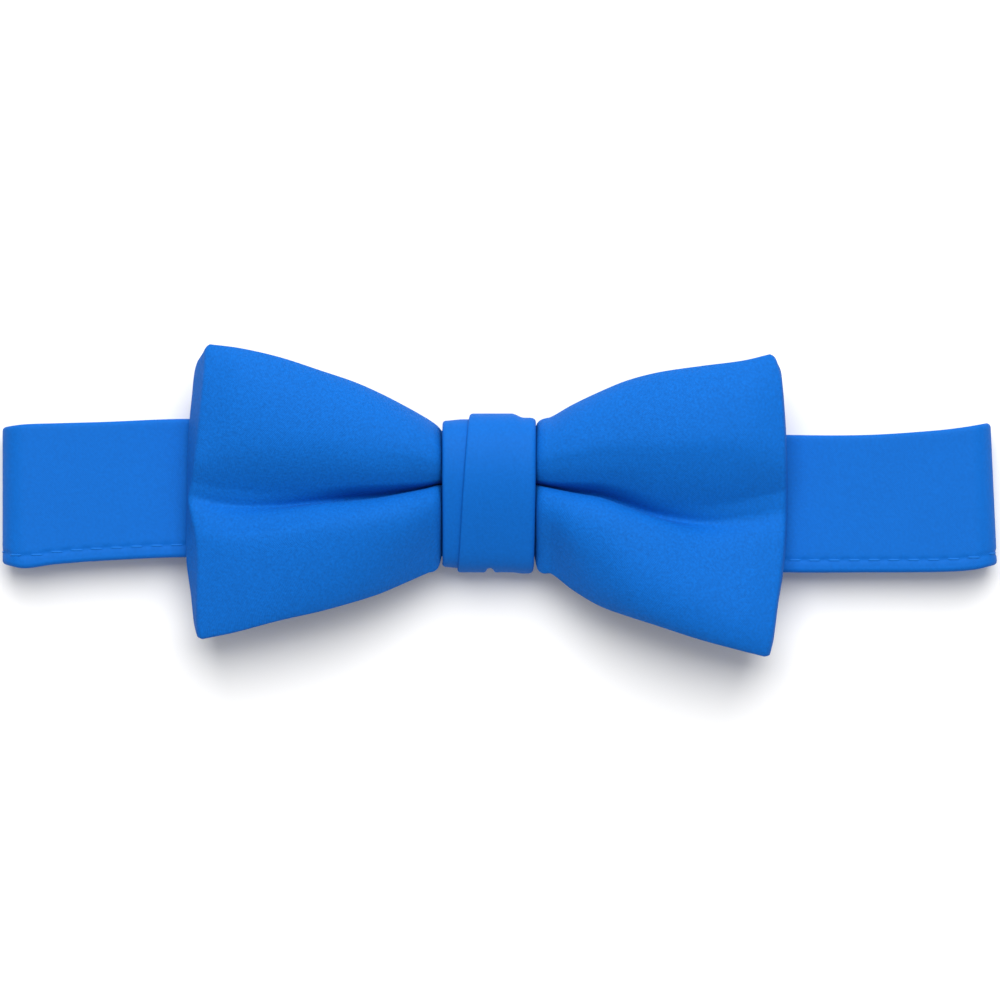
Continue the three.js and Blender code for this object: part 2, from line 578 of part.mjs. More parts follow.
// The slide clasp: a flat frame with a middle bar, so that each end of the band has a slot of its own
function bandClasp() {
  const { length, width, thickness, bar, rail, corner } = CLASP;
  const box = (path, x0, x1, y0, y1, radius) => {
    path.moveTo(x0 + radius, y0);
    path.lineTo(x1 - radius, y0);
    path.absarc(x1 - radius, y0 + radius, radius, -Math.PI / 2, 0);
    path.absarc(x1 - radius, y1 - radius, radius, 0, Math.PI / 2);
    path.absarc(x0 + radius, y1 - radius, radius, Math.PI / 2, Math.PI);
    path.absarc(x0 + radius, y0 + radius, radius, Math.PI, Math.PI * 1.5);
    return path;
  };
  const outline = box(new THREE.Shape(), -length / 2, length / 2, -width / 2, width / 2, corner);
  for (const side of [-1, 1]) {
    const [inner, outer] = [side * bar / 2, side * (length / 2 - bar)];
    const [x0, x1] = [Math.min(inner, outer), Math.max(inner, outer)];
    outline.holes.push(box(new THREE.Path(), x0, x1, -width / 2 + rail, width / 2 - rail, 0.6));
  }
  return new THREE.ExtrudeGeometry(outline, { depth: thickness, bevelEnabled: false, curveSegments: 4 });
}

function cloth(color, roughness) {
  return new THREE.MeshStandardMaterial({ color, roughness, metalness: 0 });
}

function piece(name, geometry, material) {
  const mesh = new THREE.Mesh(geometry, material);
  mesh.name = name;
  return mesh;
}

const bowMesh = piece('bow_loop', bowLoop(), cloth(TIE_BLUE, 0.62));
const knotMesh = piece('knot_wrap', knotWrap(), cloth(TIE_BLUE, 0.58));
const bandMesh = piece('neck_band', neckBand(), cloth(TIE_BLUE, 0.6));
const steel = new THREE.MeshStandardMaterial({ color: 0xb9bcc0, roughness: 0.32, metalness: 1 });
const claspMesh = piece('band_clasp', bandClasp(), steel);
claspMesh.position.set(CLASP.x, CLASP.y, BAND_CLOTH / 2 + LOOP_RADIUS - CLASP.thickness / 2);

const bowTie = new THREE.Group();
bowTie.add(bowMesh, knotMesh, bandMesh, claspMesh);

export default bowTie;
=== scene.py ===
import bpy
import numpy as np
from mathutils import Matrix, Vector


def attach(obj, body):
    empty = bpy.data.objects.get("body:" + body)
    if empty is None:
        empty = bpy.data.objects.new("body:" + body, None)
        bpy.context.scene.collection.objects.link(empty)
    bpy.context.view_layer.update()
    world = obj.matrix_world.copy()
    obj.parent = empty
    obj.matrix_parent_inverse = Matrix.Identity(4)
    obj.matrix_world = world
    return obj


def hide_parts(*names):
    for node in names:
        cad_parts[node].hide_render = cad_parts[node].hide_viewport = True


# A pre-tied bow tie, lying on its back on a pale table. The tables are in millimetres, with X along the
# neck band, Y up the front of the tie and Z up from the table, and each mesh is made in metres.

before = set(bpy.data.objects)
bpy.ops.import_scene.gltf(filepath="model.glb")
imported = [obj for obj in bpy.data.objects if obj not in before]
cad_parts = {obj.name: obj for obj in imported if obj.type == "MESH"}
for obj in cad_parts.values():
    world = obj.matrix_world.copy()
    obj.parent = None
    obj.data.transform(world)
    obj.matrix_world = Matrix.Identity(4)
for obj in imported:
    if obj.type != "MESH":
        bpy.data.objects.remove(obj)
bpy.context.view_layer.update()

MM = 0.001
BOW_CLOTH = 1.2
BAND_CLOTH = 1.6
WRAP_CLOTH = 1.2
KNOT_X = -2.0

# The outline of each wing's front layer and the run of its pleat, a row for each section outward from the
# middle of the knot: the distance from the knot, the strip's two edges, the Y of the two lobes' crests, and
# the Y of the pleat, which is the lip of the lower lobe
OUTLINE_COLUMNS = ("at", "top", "bottom", "upper_y", "lower_y", "pleat")
LEFT_OUTLINE = np.array([
    [0.0, 12.6, -10.0, 7.6, -0.8, 2.6],
    [9.3, 12.7, -10.2, 7.6, -1.0, 2.5],
    [10.2, 13.7, -13.0, 7.9, -2.0, 2.3],
    [12.0, 15.0, -13.8, 8.4, -2.8, 1.8],
    [16.0, 17.3, -15.5, 9.4, -4.2, 1.0],
    [21.0, 19.9, -17.6, 10.4, -4.8, 0.2],
    [26.0, 22.1, -19.2, 11.6, -5.2, -0.2],
    [32.0, 24.1, -20.9, 12.8, -5.6, -0.6],
    [40.0, 26.6, -22.8, 14.5, -6.4, -1.2],
    [48.0, 28.4, -25.0, 16.5, -7.2, -1.0],
    [54.0, 29.3, -26.3, 16.5, -6.6, 0.4],
])
RIGHT_OUTLINE = np.array([
    [0.0, 12.6, -10.0, 7.6, -0.8, 2.6],
    [8.9, 12.9, -10.6, 7.6, -1.2, 2.5],
    [9.7, 14.6, -13.5, 7.9, -2.4, 2.3],
    [12.0, 15.4, -14.0, 8.6, -3.2, 1.8],
    [16.0, 17.7, -16.9, 9.4, -5.6, 1.0],
    [21.0, 20.1, -19.8, 10.6, -7.2, 0.2],
    [26.0, 22.2, -21.6, 11.2, -10.0, -1.4],
    [32.0, 23.8, -23.5, 11.4, -13.0, -3.3],
    [40.0, 25.0, -26.0, 12.0, -17.5, -4.3],
    [48.0, 26.1, -28.1, 12.5, -21.0, -3.6],
    [53.0, 27.4, -29.4, 13.0, -23.0, -2.5],
])
# The relief of each wing's front layer: the heights of the strip's two edges (top_rim, bottom_rim), of the
# two crests and of the pleat's foot (floor), half the foot's width, the pleat's width at its mouth, the share
# of its depth below the mouth (step), how far the upper lobe's flank runs from the pleat, how far the lower
# lobe's lip is rolled (nose beyond the pleat's line, roll back from it, and shoulder, the share of the depth
# that is left there), and how full the lower lobe is towards its edge
RELIEF_COLUMNS = (
    "at", "top_rim", "bottom_rim", "upper", "lower", "floor", "foot", "mouth", "step", "flank",
    "nose", "roll", "shoulder", "full",
)
LEFT_RELIEF = np.array([
    [0.0, 7.9, 7.9, 14.2, 12.5, 9.4, 0.95, 1.6, 0.7, 3.0, 0.1, 1.6, 0.04, 0.1],
    [9.25, 7.9, 7.9, 14.2, 12.5, 9.5, 0.95, 1.6, 0.7, 3.0, 0.1, 1.6, 0.04, 0.1],
    [10.0, 8.6, 8.4, 15.8, 14.7, 10.0, 0.95, 1.65, 0.66, 4.2, 0.1, 1.6, 0.04, 0.1],
    [12.0, 9.4, 9.2, 16.9, 16.2, 10.5, 0.95, 1.85, 0.60, 5.3, 0.1, 1.7, 0.04, 0.1],
    [16.0, 10.8, 10.6, 18.2, 18.0, 11.1, 0.95, 2.3, 0.58, 6.8, 0.1, 1.9, 0.05, 0.2],
    [21.0, 12.4, 12.2, 19.2, 19.2, 11.6, 1.0, 2.8, 0.56, 7.9, 0.0, 2.2, 0.06, 0.35],
    [26.0, 13.6, 13.3, 19.9, 19.8, 12.2, 1.0, 3.0, 0.51, 8.8, -0.2, 2.6, 0.08, 0.45],
    [32.0, 14.6, 14.3, 20.3, 19.9, 13.3, 0.8, 2.9, 0.35, 10.3, -0.5, 3.2, 0.12, 0.45],
    [40.0, 15.1, 14.6, 20.3, 19.2, 13.5, 0.5, 3.0, 0.24, 11.4, -1.6, 4.2, 0.22, 0.4],
    [48.0, 14.8, 14.2, 19.0, 17.9, 13.1, 0.5, 3.3, 0.22, 11.5, -3.0, 5.2, 0.26, 0.35],
    [54.0, 13.8, 13.0, 16.5, 15.8, 12.8, 0.6, 3.0, 0.26, 8.0, -3.4, 5.8, 0.3, 0.35],
])
RIGHT_RELIEF = np.array([
    [0.0, 7.9, 7.9, 14.4, 12.5, 9.4, 0.95, 1.6, 0.7, 3.0, 0.1, 1.6, 0.04, 0.1],
    [8.9, 7.9, 7.9, 14.4, 12.5, 9.5, 0.95, 1.6, 0.7, 3.0, 0.1, 1.6, 0.04, 0.1],
    [9.6, 8.6, 8.4, 15.8, 14.7, 10.0, 0.95, 1.7, 0.66, 4.4, 0.1, 1.6, 0.04, 0.05],
    [12.0, 9.4, 9.2, 16.9, 16.3, 10.5, 0.95, 1.9, 0.60, 5.6, 0.1, 1.7, 0.04, 0.0],
    [16.0, 10.8, 10.6, 18.2, 18.2, 11.1, 0.95, 2.5, 0.58, 7.2, 0.1, 1.9, 0.05, 0.2],
    [21.0, 12.4, 12.6, 19.2, 19.2, 11.6, 1.0, 3.1, 0.55, 8.9, 0.0, 2.2, 0.06, 0.6],
    [26.0, 13.6, 14.2, 19.9, 19.6, 12.1, 1.05, 3.6, 0.46, 10.7, -0.2, 2.6, 0.08, 0.9],
    [32.0, 14.6, 15.4, 20.5, 19.4, 12.7, 0.9, 3.4, 0.30, 12.7, -0.6, 3.4, 0.12, 1.0],
    [40.0, 15.1, 15.8, 20.6, 18.6, 13.1, 0.6, 3.4, 0.19, 14.2, -3.0, 6.2, 0.28, 1.0],
    [48.0, 14.8, 15.2, 19.3, 17.3, 13.4, 0.8, 4.2, 0.17, 13.0, -5.0, 9.0, 0.38, 1.0],
    [53.0, 13.8, 14.0, 16.9, 15.6, 12.7, 0.8, 4.2, 0.18, 10.8, -5.2, 9.2, 0.38, 1.0],
])
# The back layer: its height and how far its edges stand in from the front layer's, then its gathers, which
# rise outward from the knot and fade, and the run at the outer end where it widens to its corners
BACK_COLUMNS = ("at", "height", "inset")
BACK = np.array([
    [0.0, 6.3, 0.2],
    [9.0, 6.3, 0.3],
    [14.0, 7.3, 1.0],
    [21.0, 8.5, 1.5],
    [32.0, 8.8, 1.6],
    [54.0, 8.9, 1.4],
])
BACK_GATHER = {"depth": 0.45, "count": 3, "start": 6, "rise": 8, "fade_start": 12, "fade": 26}
BACK_END_RUN = 9
# Each wing's outer end, a row for each place across it: how far the front layer and the fold beyond it reach
# from the knot. Then the back layer's corners, and how far the strip's corners draw in as they turn round.
END_COLUMNS = ("y", "front", "fold")
LEFT_REACH = np.array([
    [-26.2, 54.2, 55.6],
    [-23.5, 54.4, 56.15],
    [-18.0, 54.4, 56.7],
    [-12.0, 54.3, 57.5],
    [-7.0, 54.6, 57.6],
    [-3.5, 55.3, 57.55],
    [0.0, 55.9, 57.45],
    [3.5, 55.3, 57.4],
    [9.0, 54.6, 57.3],
    [15.6, 53.9, 57.0],
    [21.5, 53.3, 56.45],
    [26.0, 52.9, 56.0],
    [29.3, 52.8, 55.3],
])
RIGHT_REACH = np.array([
    [-29.4, 51.9, 53.3],
    [-27.0, 52.3, 53.9],
    [-24.5, 52.7, 54.25],
    [-20.0, 53.3, 54.8],
    [-13.5, 54.2, 55.8],
    [-5.0, 54.9, 56.5],
    [5.0, 55.0, 56.6],
    [12.5, 54.8, 56.35],
    [19.0, 54.4, 55.95],
    [23.0, 54.1, 55.6],
    [25.0, 53.6, 55.4],
    [26.2, 53.3, 55.1],
    [27.4, 52.9, 54.5],
])
LEFT_END = {"back_top": 24.8, "back_bottom": -24.6, "top_dip": 2.7, "bottom_dip": 0.5}
RIGHT_END = {"back_top": 25.4, "back_bottom": -28.2, "top_dip": 1.7, "bottom_dip": 0.2}
# The share of the strip where its corners begin, and the fold's two radii
CORNER_START = 0.84
FRONT_RADIUS = 0.75
BACK_RADIUS = 1.3
LEFT_WING = {
    "side": -1, "outline": LEFT_OUTLINE, "relief": LEFT_RELIEF, "reach": LEFT_REACH, "end": LEFT_END,
}
RIGHT_WING = {
    "side": 1, "outline": RIGHT_OUTLINE, "relief": RIGHT_RELIEF, "reach": RIGHT_REACH, "end": RIGHT_END,
}

# Where the bow's sections are taken, in runs with a first, a last and a count: distances from the knot for
# the two layers, and parts of the turn for the outer fold. Then how many places lie across the strip, and
# the depth of strip that spreads them.
FRONT_RUNS = ((0, 8, 6), (8.6, 11, 13), (11.4, 24, 33), (24.7, 52.5, 44))
FOLD_RUNS = ((0, 1, 6), (1.15, 1.9, 6), (2, 3, 8))
BACK_RUNS = ((52, 20, 26), (19, 0, 20))
BOW_ACROSS = 120
BOW_DEPTH = 50

# The inner face of the knot wrap, as a ring in the plane across the band: the control points of a closed
# spline, from the top edge of the tie over the front to the bottom edge and back underneath
KNOT_RING = np.array([
    [14.15, 8.2],
    [14.35, 12.2],
    [11.6, 15.0],
    [6.2, 15.7],
    [0.6, 14.4],
    [-4.6, 12.4],
    [-9.2, 10.4],
    [-12.1, 8.5],
    [-11.8, 5.6],
    [-11.8, 3.4],
    [-10.6, 3.3],
    [-5.0, 3.4],
    [0.9, 3.4],
    [7.0, 3.4],
    [12.8, 3.3],
    [13.95, 3.4],
    [13.95, 4.8],
])
# The wrap's two edges and its fold, a row for each place round that ring, counted in its points. raise is
# how far the folded layer stands over the strip on its left, sag how far it sinks towards its right edge,
# and draw how far the left edge draws in.
KNOT_COLUMNS = ("place", "left", "fold", "right", "raise", "sag", "draw")
KNOT_FOLDS = np.array([
    [0.0, -8.9, -3.6, 8.8, 1.1, 1.0, 0.4],
    [1.6, -8.9, -4.1, 8.8, 0.8, 0.3, 0.1],
    [4.0, -8.9, -5.1, 8.7, 0.6, 0.0, 0.0],
    [6.4, -8.9, -5.8, 8.5, 0.55, 0.0, 0.0],
    [8.0, -9.0, -6.1, 8.4, 0.7, -0.25, 0.4],
    [9.6, -8.9, -6.0, 8.5, 0.22, 0.0, 0.1],
    [12.0, -8.8, -4.8, 8.7, 0.22, 0.0, 0.0],
    [14.8, -8.7, -3.8, 8.8, 0.22, 0.0, 0.1],
    [17.0, -8.9, -3.6, 8.8, 1.1, 1.0, 0.4],
])
# How much of the wrap's profile each of its rounded edges takes up, the slit under the fold, and how far the
# layer below runs in under it. Then where along X the folded layer sinks to its right, over what width, and
# over what width the left edge draws in.
WRAP_EDGES = {"left": 0.6, "fold": 0.5, "right": 1.0}
SLIT = 0.06
TUCKED_UNDER = 1.4
SAG_START = 4.2
SAG_WIDTH = 2.4
DRAW_WIDTH = 4

# The small pucker in the wrap's bottom edge
PUCKER = {"x": 0.1, "width": 1.1, "depth": 1.2, "inner": 0.5, "first": 6.8, "last": 9.2, "fade": 0.7}

# The neck band, pressed flat: its two edges, and the height of its upper layer. The right end fold is
# turned a little about the band's lower edge, more and more over a run outward from the bow.
BAND_REACH = 94.9
BAND_DEPTH = 26.5
BAND_FOLD_TOP = 8.4
END_SLANT = {"per_mm": -0.046, "lower_y": -13.8, "start": 60, "run": 32}
EDGE_COLUMNS = ("at", "top", "bottom")
BAND_EDGES = np.array([
    [-94.6, 13.9, -12.2],
    [-90.5, 14.4, -13.0],
    [-85.0, 14.6, -12.3],
    [-76.0, 14.85, -11.6],
    [-59.0, 15.45, -10.9],
    [-44.0, 14.8, -11.4],
    [-26.0, 14.5, -11.7],
    [-13.0, 12.5, -10.8],
    [9.0, 12.5, -10.8],
    [22.0, 13.2, -12.9],
    [55.0, 12.4, -13.8],
    [70.0, 12.4, -13.8],
    [84.0, 13.25, -13.7],
    [90.0, 13.95, -13.3],
    [94.6, 14.75, -12.3],
])
HEIGHT_COLUMNS = ("at", "height")
BAND_HEIGHTS = np.array([
    [-90.0, 8.4],
    [-78.0, 7.7],
    [-60.0, 7.3],
    [-42.0, 6.9],
    [-24.0, 6.7],
    [-14.0, 4.9],
    [-10.0, 4.6],
    [6.0, 4.6],
    [10.0, 4.9],
    [20.0, 6.2],
    [36.0, 7.0],
    [58.0, 7.3],
    [78.0, 7.7],
    [90.0, 8.4],
])
# The slide, the loops of band round its two outer bars, how far each end of the band is tucked back, and the
# height at which the tucked ends rest
CLASP = {
    "x": -32.0, "y": 1.4, "length": 16.0, "width": 30.4,
    "thickness": 1.2, "bar": 1.4, "rail": 1.5, "corner": 2.2,
}
LOOP_RADIUS = 2.0
LEFT_TUCK = 12.0
RIGHT_TUCK = 8.5
TUCK_REST = BAND_CLOTH * 1.5 + 0.4

# The running stitch along the band's lower edge: its threads, and the dimple that they pull into the cloth
STITCH = {
    "inset": 2.4, "pitch": 3.8, "length": 2.5, "radius": 0.18,
    "flatness": 0.6, "sink": 0.06, "end_sink": 0.2, "dimple": 0.26, "dimple_width": 0.55,
}

# The colours of the cloth and of its sewing thread
ROYAL_BLUE = (0.0012, 0.118, 0.490)
THREAD_BLUE = (0.006, 0.15, 0.56)


def ease(share):
    """The smooth step from 0 to 1: three times the square less twice the cube."""
    t = np.clip(share, 0, 1)
    return t * t * (3 - 2 * t)


def along(table, columns, name, place, key=0):
    """A smooth curve through a table's column: cubic pieces whose slopes are those between neighbours."""
    place = np.asarray(place, float)
    x = table[:, key]
    y = table[:, columns.index(name)]
    after = np.minimum(np.arange(len(x)) + 1, len(x) - 1)
    before = np.maximum(np.arange(len(x)) - 1, 0)
    slope = (y[after] - y[before]) / (x[after] - x[before])
    k = np.clip(np.searchsorted(x, place, side="right") - 1, 0, len(x) - 2)
    span = x[k + 1] - x[k]
    t = np.clip((place - x[k]) / span, 0, 1)
    rise = y[k] * (2 * t**3 - 3 * t**2 + 1) + y[k + 1] * (3 * t**2 - 2 * t**3)
    return rise + slope[k] * span * (t**3 - 2 * t**2 + t) + slope[k + 1] * span * (t**3 - t**2)


def spline_weights(count, share):
    """The weight of each of count control points at each share, for a cubic B-spline held at both ends."""
    held = np.concatenate([[0, 0], np.arange(count), [count - 1, count - 1]])
    pieces = len(held) - 3
    k = np.minimum(pieces - 1, np.floor(share * pieces)).astype(int)
    t = share * pieces - k
    basis = np.stack([
        (1 - t) ** 3,
        3 * t**3 - 6 * t**2 + 4,
        -3 * t**3 + 3 * t**2 + 3 * t + 1,
        t**3,
    ], axis=1) / 6
    weights = np.zeros((len(share), count))
    for i in range(4):
        np.add.at(weights, (np.arange(len(share)), held[k + i]), basis[:, i])
    return weights


def front_section(wing, at, across):
    """Y and Z of the front layer: for each distance, a spline from the strip's bottom edge over the lower
    lobe, down its lip into the pleat, up the upper lobe's long flank and over it to the top edge."""
    at = np.asarray(at, float)
    top, bottom, upper_y, lower_y, pleat = (
        along(wing["outline"], OUTLINE_COLUMNS, name, at) for name in OUTLINE_COLUMNS[1:]
    )
    top_rim, bottom_rim, upper, lower, floor, foot, mouth, step, flank, nose, roll, shoulder, full = (
        along(wing["relief"], RELIEF_COLUMNS, name, at) for name in RELIEF_COLUMNS[1:]
    )

    def mix(a, b, share):
        """The value a share of the way from a to b."""
        return a + (b - a) * share

    mouth_z = mix(floor, upper, step)
    points = [
        (bottom, bottom_rim),
        (mix(bottom, lower_y, 0.1), mix(bottom_rim, lower, 0.1 + 0.35 * full)),
        (mix(bottom, lower_y, 0.5), mix(bottom_rim, lower, 0.5 + 0.4 * full)),
        (lower_y, lower),
        (pleat - roll, mix(lower, floor, shoulder)),
        (pleat + nose, mix(lower, floor, 0.35 + 0.5 * shoulder)),
        (mix(pleat + nose, pleat - foot, 0.6), mix(lower, floor, 0.75)),
        (pleat - foot, floor),
        (pleat + foot, floor),
        (pleat + mix(foot, mouth, 0.4), mix(floor, mouth_z, 0.5)),
        (pleat + mouth, mouth_z),
        (pleat + mix(mouth, flank, 0.1), mix(mouth_z, upper, 0.12)),
        (pleat + mix(mouth, flank, 0.55), mix(mouth_z, upper, 0.6)),
        (pleat + flank, mix(upper, floor, 0.07)),
        (upper_y, upper),
        (mix(top, upper_y, 0.5), mix(top_rim, upper, 0.9)),
        (mix(top, upper_y, 0.1), mix(top_rim, upper, 0.45)),
        (top, top_rim),
    ]
    weights = spline_weights(len(points), across)
    return tuple(np.stack([point[k] for point in points], axis=1) @ weights.T for k in (0, 1))


def back_section(wing, at, across):
    """Y and Z of the back layer: nearly flat, with shallow cosine gathers where it runs into the knot."""
    at = np.asarray(at, float)
    outline, end = wing["outline"], wing["end"]
    outer, outer_top, outer_bottom = outline[-1, :3]
    edge_y, _ = front_section(wing, [outer], across)
    share = (edge_y - outer_bottom) / (outer_top - outer_bottom)
    inset = along(BACK, BACK_COLUMNS, "inset", at)
    at_end = ease((at - outer + BACK_END_RUN) / BACK_END_RUN) ** 2
    top = along(outline, OUTLINE_COLUMNS, "top", at) - inset
    bottom = along(outline, OUTLINE_COLUMNS, "bottom", at) + inset
    top = top + (end["back_top"] - top) * at_end
    bottom = bottom + (end["back_bottom"] - bottom) * at_end
    gather = BACK_GATHER["depth"] * ease((at - BACK_GATHER["start"]) / BACK_GATHER["rise"])
    gather = gather * (1 - ease((at - BACK_GATHER["fade_start"]) / BACK_GATHER["fade"]))
    wave = gather[:, None] * (1 - np.cos(2 * np.pi * BACK_GATHER["count"] * share)) / 2
    y = bottom[:, None] + (top - bottom)[:, None] * share
    return y, along(BACK, BACK_COLUMNS, "height", at)[:, None] + wave


def outer_fold(turns, tip_x, tip_z, slope, reach, back_z):
    """X and Z down the fold, and the share of its length gone: an arc from the front layer's slope, a leaning
    wall, and an arc under to the back layer. turns goes from 0 to 3, one for each of them. The wall's lean is
    found by repeating: the run and drop that the arcs leave to it give its angle."""
    lean = np.zeros_like(tip_x)
    for _ in range(8):
        run = reach - tip_x - FRONT_RADIUS * (np.cos(lean) - np.sin(slope))
        run = run - BACK_RADIUS * (1 - np.cos(lean))
        drop = tip_z - back_z - FRONT_RADIUS * (np.cos(slope) - np.sin(lean))
        drop = drop - BACK_RADIUS * (1 + np.sin(lean))
        lean = np.arctan2(run, drop)
    wall = np.hypot(run, drop)
    first, second, third = (np.clip(turns[:, None] - k, 0, 1) for k in range(3))
    meet = np.pi / 2 - lean
    angle = slope + (meet - slope) * first
    under = meet + (np.pi - meet) * third
    x = tip_x + FRONT_RADIUS * (np.sin(angle) - np.sin(slope)) + wall * np.sin(lean) * second
    z = tip_z - FRONT_RADIUS * (np.cos(slope) - np.cos(angle)) - wall * np.cos(lean) * second
    x = x + BACK_RADIUS * (np.sin(under) - np.sin(meet))
    z = z - BACK_RADIUS * (np.cos(meet) - np.cos(under))
    lengths = FRONT_RADIUS * (meet - slope), wall, BACK_RADIUS * (np.pi - meet)
    return x, z, (lengths[0] * first + lengths[1] * second + lengths[2] * third) / sum(lengths)


def wing_half(wing, across, front_at, turns, back_at):
    """Points of one wing, from the knot out along the front, down the outer fold and back behind. Each layer
    is stretched smoothly along X so that it ends where the fold begins or finishes."""
    end = wing["end"]
    limit = wing["outline"][-1, 0]
    y0, _ = front_section(wing, [limit], across)
    y1, _ = back_section(wing, [limit], across)
    front_end = along(wing["reach"], END_COLUMNS, "front", y0[0])
    reach = along(wing["reach"], END_COLUMNS, "fold", y0[0]) - BOW_CLOTH / 2

    def placed(at, section, layer_end):
        """A layer's points: its section at each distance, moved outwards by a smooth step to its own end."""
        at = np.asarray(at, float)
        y, z = section(wing, at, across)
        x = at[:, None] + (layer_end - limit) * ease(at / limit * 2 - 1)[:, None]
        return np.stack([x, y, z], axis=2)

    tip = placed([limit], front_section, front_end)[0]
    before = placed([limit - 0.5], front_section, front_end)[0]
    slope = np.arctan2(before[:, 2] - tip[:, 2], tip[:, 0] - before[:, 0])
    back_z = placed([limit], back_section, reach - BACK_RADIUS)[0, :, 2]
    x, z, gone = outer_fold(turns, tip[:, 0], tip[:, 2], slope, reach, back_z)
    y = y0 + (y1 - y0) * gone**3
    at_top = ease((across - CORNER_START) / (1 - CORNER_START))
    at_bottom = ease((1 - across - CORNER_START) / (1 - CORNER_START))
    y = y - np.sin(np.pi * gone) * end["top_dip"] * at_top
    y = y + np.sin(np.pi * gone) * end["bottom_dip"] * at_bottom
    fold = np.stack([x, y, z], axis=2)
    front = placed(front_at, front_section, front_end)
    back = placed(back_at, back_section, reach - BACK_RADIUS)
    points = np.concatenate([front, fold, back])
    points[:, :, 0] = KNOT_X + wing["side"] * points[:, :, 0]
    return points


def rounded(distance, radius):
    """Half the thickness of a wall at a distance from its rounded edge: a quarter circle of that radius."""
    share = 1 - np.clip(distance / radius, 0, 1)
    return radius * np.sqrt(1 - share * share)


def across_shares(count, width, radius):
    """Places across a strip from 0 to 1, even but for extra ones where the rounded edges need them."""
    edge = radius / width * (1 - np.cos(np.linspace(0, np.pi / 2, 5)))
    inner = np.linspace(edge[-1], 1 - edge[-1], count)[1:-1]
    return np.concatenate([edge, inner, (1 - edge)[::-1]])


def normals(points, close_rows):
    """The unit normal at each point of a grid, from its neighbours along the rows and the columns."""
    if close_rows:
        run = np.roll(points, -1, axis=0) - np.roll(points, 1, axis=0)
    else:
        run = np.gradient(points, axis=0)
    side = np.gradient(points, axis=1)
    normal = np.cross(run, side)
    return normal / np.linalg.norm(normal, axis=2)[:, :, None]


def arc_length(points, axis):
    """How far each point of a grid lies along its row or column, from the first one."""
    steps = np.linalg.norm(np.diff(points, axis=axis), axis=2)
    first = np.zeros_like(np.take(steps, [0], axis=axis))
    return np.concatenate([first, np.cumsum(steps, axis=axis)], axis=axis)


def end_caps(rows, columns):
    """The faces that close both ends of a strip: quads between its two faces and a triangle at each edge. In
    each loop, place k lies opposite place columns - k."""
    middle = columns // 2
    k = np.arange(1, middle - 1)
    quads = np.stack([k, k + 1, columns - k - 1, columns - k], axis=1)
    tips = np.array([[0, 1, columns - 1], [middle - 1, middle, middle + 1]])
    last = (rows - 1) * columns
    return np.concatenate([quads, last + quads[:, ::-1]]), np.concatenate([tips, last + tips[:, ::-1]])


def mesh_piece(name, points, uv, close_rows, material, replaces):
    """One closed body from a grid of points in millimetres. Each row is a closed loop, and the rows close
    on themselves too or end in caps. uv has one more row and column than points where that way closes."""
    rows, columns = points.shape[:2]
    i, j = np.meshgrid(np.arange(rows if close_rows else rows - 1), np.arange(columns), indexing="ij")
    i, j = i.ravel(), j.ravel()
    right = (j + 1) % columns
    here, below = i * columns, (i + 1) % rows * columns
    quads = np.stack([here + j, below + j, below + right, here + right], axis=1)
    maps = np.stack([uv[i, j], uv[i + 1, j], uv[i + 1, j + 1], uv[i, j + 1]], axis=1).reshape(-1, 2)
    faces = quads.tolist()
    if not close_rows:
        caps, tips = end_caps(rows, columns)
        corners = uv[:, :-1].reshape(-1, 2)
        maps = np.concatenate([maps, corners[caps.ravel()], corners[tips.ravel()]])
        faces += caps.tolist() + tips.tolist()
    mesh = bpy.data.meshes.new(name)
    mesh.from_pydata((points.reshape(-1, 3) * MM).tolist(), [], faces)
    layer = mesh.uv_layers.new(name="cloth")
    layer.data.foreach_set("uv", (maps * MM).astype(np.float32).ravel())
    mesh.polygons.foreach_set("use_smooth", np.ones(len(faces), bool))
    piece = bpy.data.objects.new(name, mesh)
    bpy.context.collection.objects.link(piece)
    mesh.materials.append(material)
    if signed_volume(mesh) < 0:
        mesh.flip_normals()
    mesh.update()
    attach(piece, "root")
    if replaces:
        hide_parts(replaces)
    return piece


def signed_volume(mesh):
    """Six times the volume inside the mesh, below nought where its faces point inwards."""
    mesh.calc_loop_triangles()
    corners = np.zeros(len(mesh.vertices) * 3)
    mesh.vertices.foreach_get("co", corners)
    corners = corners.reshape(-1, 3)
    index = np.zeros(len(mesh.loop_triangles) * 3, int)
    mesh.loop_triangles.foreach_get("vertices", index)
    a, b, c = corners[index.reshape(-1, 3)].transpose(1, 0, 2)
    return float((a * np.cross(b, c)).sum())


def thick_strip(middle, half, close_rows):
    """The two faces of a strip, half a thickness each way along its normal, as loops round its section."""
    shift = normals(middle, close_rows) * half[:, :, None]
    upper, under = middle + shift, middle - shift
    return np.concatenate([upper, under[:, -2:0:-1]], axis=1)


def strip_map(middle, close_rows):
    """The map that the weave follows, in millimetres: how far along the strip and how far across it."""
    length = arc_length(middle, 0)
    width = arc_length(middle, 1)
    width = width - width[:, -1:] / 2
    if close_rows:
        gap = np.linalg.norm(middle[0] - middle[-1], axis=1)
        length = np.concatenate([length, (length[-1] + gap)[None]])
        width = np.concatenate([width, width[:1]])
    grid = np.stack([length, width], axis=2)
    loop = np.concatenate([grid, grid[:, -2:0:-1]], axis=1)
    return np.concatenate([loop, loop[:, :1]], axis=1)


